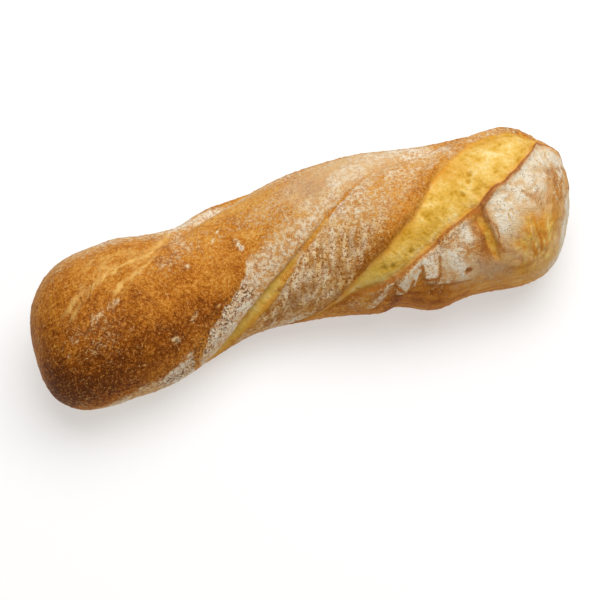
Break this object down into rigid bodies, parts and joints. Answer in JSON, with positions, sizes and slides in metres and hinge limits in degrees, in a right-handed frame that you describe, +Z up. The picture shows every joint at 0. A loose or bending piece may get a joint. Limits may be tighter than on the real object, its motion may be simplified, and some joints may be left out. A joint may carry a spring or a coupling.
{
  "type": "sandwich baguette",
  "caption": "Twisted, floury sandwich baguette with blunt ends, spiral creases and a long burst split along its top, lying on a flat base.",
  "frame": {"origin": "on the surface it lies on, under the middle of its box", "axes": "+X along the loaf towards its floury right end, -Y its front, +Z up"},
  "size_m": [0.2808, 0.0944, 0.0667],
  "materials": {
    "crust": "dry baked crust, matte, amber brown with white flour and a yellow torn split"
  },
  "bodies": {
    "root": {"loaf": "crust"}
  },
  "joints": []
}
